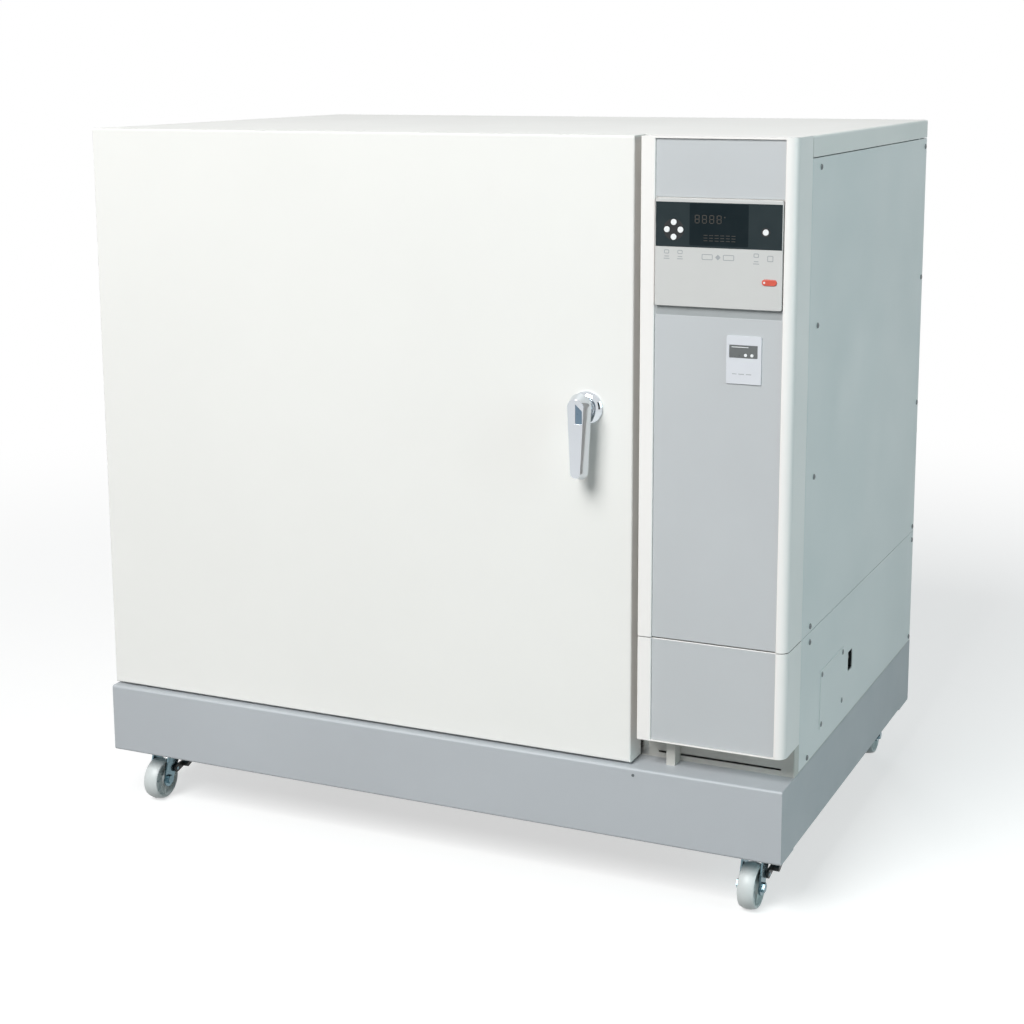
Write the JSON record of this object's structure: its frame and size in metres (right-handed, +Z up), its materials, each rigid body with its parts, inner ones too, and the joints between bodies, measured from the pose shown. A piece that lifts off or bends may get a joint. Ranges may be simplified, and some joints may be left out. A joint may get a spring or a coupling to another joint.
{
  "type": "laboratory oven",
  "caption": "Floor-standing forced-convection laboratory oven with a side-hinged insulated door, lever latch, control column at the right and a castered plinth.",
  "frame": {"origin": "on the floor, under the middle of the whole object's box", "axes": "+X to the right as seen from the front, +Y to the back, +Z up"},
  "size_m": [1.257, 0.943, 1.207],
  "materials": {
    "white_enamel": "smooth baked enamel",
    "side_enamel": "smooth baked enamel",
    "column_enamel": "smooth baked enamel",
    "grey_enamel": "satin enamel",
    "plinth_enamel": "satin enamel",
    "chassis_paint": "primed sheet",
    "stainless": "2B stainless sheet",
    "stainless_wire": "polished wire",
    "zinc": "bright zinc plate",
    "heater_sheath": "oxidised tube",
    "fan_alloy": "cast",
    "motor_paint": "satin",
    "wool": "mineral wool",
    "gasket": "silicone",
    "control_shell": "fine moulded",
    "display_black": "gloss",
    "board_green": "circuit board",
    "key_white": "gloss",
    "power_red": "gloss",
    "protector_grey": "fine moulded",
    "breaker_black": "moulded",
    "gland_black": "moulded nylon",
    "screw_zinc": "plated",
    "chrome": "polished",
    "wheel_nylon": "moulded nylon",
    "pedal_black": "satin"
  },
  "bodies": {
    "cabinet": {"plinth_frame": "plinth_enamel", "caster_plates": "zinc", "casing_top": "white_enamel", "casing_left": "side_enamel", "casing_right_upper": "side_enamel", "casing_right_lower": "side_enamel", "casing_rear": "side_enamel", "front_frame": "stainless", "chassis_sheets": "chassis_paint", "chamber_liner": "stainless", "insulation": "wool", "duct_panels": "stainless", "shelf_uprights": "stainless", "shelf_lower": "stainless_wire", "shelf_upper": "stainless_wire", "heater_elements": "heater_sheath", "fan_motor": "motor_paint", "exhaust_ports": "stainless", "column_upper_cover": "column_enamel", "column_lower_cover": "column_enamel", "grey_panels": "grey_enamel", "control_panel": "control_shell", "display_strip": "display_black", "control_board": "board_green", "overheat_protector": "protector_grey", "bottom_rail": "chassis_paint", "service_cover": "side_enamel", "main_breaker": "breaker_black", "cable_gland": "gland_black", "casing_screws": "screw_zinc", "hinge_leaves_cabinet": "chrome"},
    "door": {"door_skin": "white_enamel", "door_inner_panel": "stainless", "door_insulation": "wool", "door_gasket": "gasket", "hinge_leaves_door": "chrome", "handle_rosette": "chrome"},
    "lever": {"door_lever": "chrome"},
    "fan": {"fan_impeller": "fan_alloy"},
    "damper_left": {"damper_left": "stainless_wire"},
    "damper_right": {"damper_right": "stainless_wire"},
    "breaker_lever": {"breaker_lever": "breaker_black"},
    "key_up": {"key_up": "key_white"},
    "key_down": {"key_down": "key_white"},
    "key_left": {"key_left": "key_white"},
    "key_right": {"key_right": "key_white"},
    "key_start": {"key_start": "key_white"},
    "power_key": {"power_key": "power_red"},
    "protector_key_left": {"protector_key_left": "key_white"},
    "protector_key_right": {"protector_key_right": "key_white"},
    "fork_front_left": {"fork_front_left": "zinc"},
    "wheel_front_left": {"wheel_front_left": "wheel_nylon"},
    "brake_pedal_front_left": {"brake_pedal_front_left": "pedal_black"},
    "fork_front_right": {"fork_front_right": "zinc"},
    "wheel_front_right": {"wheel_front_right": "wheel_nylon"},
    "brake_pedal_front_right": {"brake_pedal_front_right": "pedal_black"},
    "fork_rear_left": {"fork_rear_left": "zinc"},
    "wheel_rear_left": {"wheel_rear_left": "wheel_nylon"},
    "fork_rear_right": {"fork_rear_right": "zinc"},
    "wheel_rear_right": {"wheel_rear_right": "wheel_nylon"}
  },
  "joints": [
    {"name": "door_swing", "type": "hinge", "parent": "cabinet", "child": "door", "pos_m": [-0.6215, -0.3695, 0.71], "axis": [0, 0, -1], "range_deg": [0, 120]},
    {"name": "lever_turn", "type": "hinge", "parent": "door", "child": "lever", "pos_m": [0.2995, -0.4215, 0.79], "axis": [0, 1, 0], "range_deg": [0, 90]},
    {"name": "fan_spin", "type": "hinge", "parent": "cabinet", "child": "fan", "pos_m": [0.2065, -0.0185, 0.716], "axis": [1, 0, 0], "continuous": true},
    {"name": "damper_left_turn", "type": "hinge", "parent": "cabinet", "child": "damper_left", "pos_m": [-0.3135, 0.4245, 0.92], "axis": [0, 0, 1], "range_deg": [0, 90]},
    {"name": "damper_right_turn", "type": "hinge", "parent": "cabinet", "child": "damper_right", "pos_m": [0.0745, 0.4245, 0.92], "axis": [0, 0, 1], "range_deg": [0, 90]},
    {"name": "breaker_throw", "type": "hinge", "parent": "cabinet", "child": "breaker_lever", "pos_m": [0.6105, -0.0435, 0.315], "axis": [0, 1, 0], "range_deg": [0, 40]},
    {"name": "key_up_press", "type": "slide", "parent": "cabinet", "child": "key_up", "axis": [0, 1, 0], "range_m": [0, 0.001], "stiffness_N_per_m": 300},
    {"name": "key_down_press", "type": "slide", "parent": "cabinet", "child": "key_down", "axis": [0, 1, 0], "range_m": [0, 0.001], "stiffness_N_per_m": 300},
    {"name": "key_left_press", "type": "slide", "parent": "cabinet", "child": "key_left", "axis": [0, 1, 0], "range_m": [0, 0.001], "stiffness_N_per_m": 300},
    {"name": "key_right_press", "type": "slide", "parent": "cabinet", "child": "key_right", "axis": [0, 1, 0], "range_m": [0, 0.001], "stiffness_N_per_m": 300},
    {"name": "key_start_press", "type": "slide", "parent": "cabinet", "child": "key_start", "axis": [0, 1, 0], "range_m": [0, 0.001], "stiffness_N_per_m": 300},
    {"name": "power_key_press", "type": "slide", "parent": "cabinet", "child": "power_key", "axis": [0, 1, 0], "range_m": [0, 0.001], "stiffness_N_per_m": 300},
    {"name": "protector_key_left_press", "type": "slide", "parent": "cabinet", "child": "protector_key_left", "axis": [0, 1, 0], "range_m": [0, 0.0006], "stiffness_N_per_m": 300},
    {"name": "protector_key_right_press", "type": "slide", "parent": "cabinet", "child": "protector_key_right", "axis": [0, 1, 0], "range_m": [0, 0.0006], "stiffness_N_per_m": 300},
    {"name": "swivel_front_left", "type": "hinge", "parent": "cabinet", "child": "fork_front_left", "pos_m": [-0.5525, -0.3555, 0.05], "axis": [0, 0, 1], "continuous": true},
    {"name": "spin_front_left", "type": "hinge", "parent": "fork_front_left", "child": "wheel_front_left", "pos_m": [-0.5525, -0.3835, 0.0375], "axis": [1, 0, 0], "continuous": true},
    {"name": "brake_front_left", "type": "hinge", "parent": "fork_front_left", "child": "brake_pedal_front_left", "pos_m": [-0.5325, -0.3635, 0.052], "axis": [-1, 0, 0], "range_deg": [0, 18]},
    {"name": "swivel_front_right", "type": "hinge", "parent": "cabinet", "child": "fork_front_right", "pos_m": [0.5655, -0.3555, 0.05], "axis": [0, 0, 1], "continuous": true},
    {"name": "spin_front_right", "type": "hinge", "parent": "fork_front_right", "child": "wheel_front_right", "pos_m": [0.5655, -0.3835, 0.0375], "axis": [1, 0, 0], "continuous": true},
    {"name": "brake_front_right", "type": "hinge", "parent": "fork_front_right", "child": "brake_pedal_front_right", "pos_m": [0.5855, -0.3635, 0.052], "axis": [-1, 0, 0], "range_deg": [0, 18]},
    {"name": "swivel_rear_left", "type": "hinge", "parent": "cabinet", "child": "fork_rear_left", "pos_m": [-0.5525, 0.3335, 0.05], "axis": [0, 0, 1], "continuous": true},
    {"name": "spin_rear_left", "type": "hinge", "parent": "fork_rear_left", "child": "wheel_rear_left", "pos_m": [-0.5525, 0.3615, 0.0375], "axis": [1, 0, 0], "continuous": true},
    {"name": "swivel_rear_right", "type": "hinge", "parent": "cabinet", "child": "fork_rear_right", "pos_m": [0.5655, 0.3335, 0.05], "axis": [0, 0, 1], "continuous": true},
    {"name": "spin_rear_right", "type": "hinge", "parent": "fork_rear_right", "child": "wheel_rear_right", "pos_m": [0.5655, 0.3615, 0.0375], "axis": [1, 0, 0], "continuous": true}
  ]
}
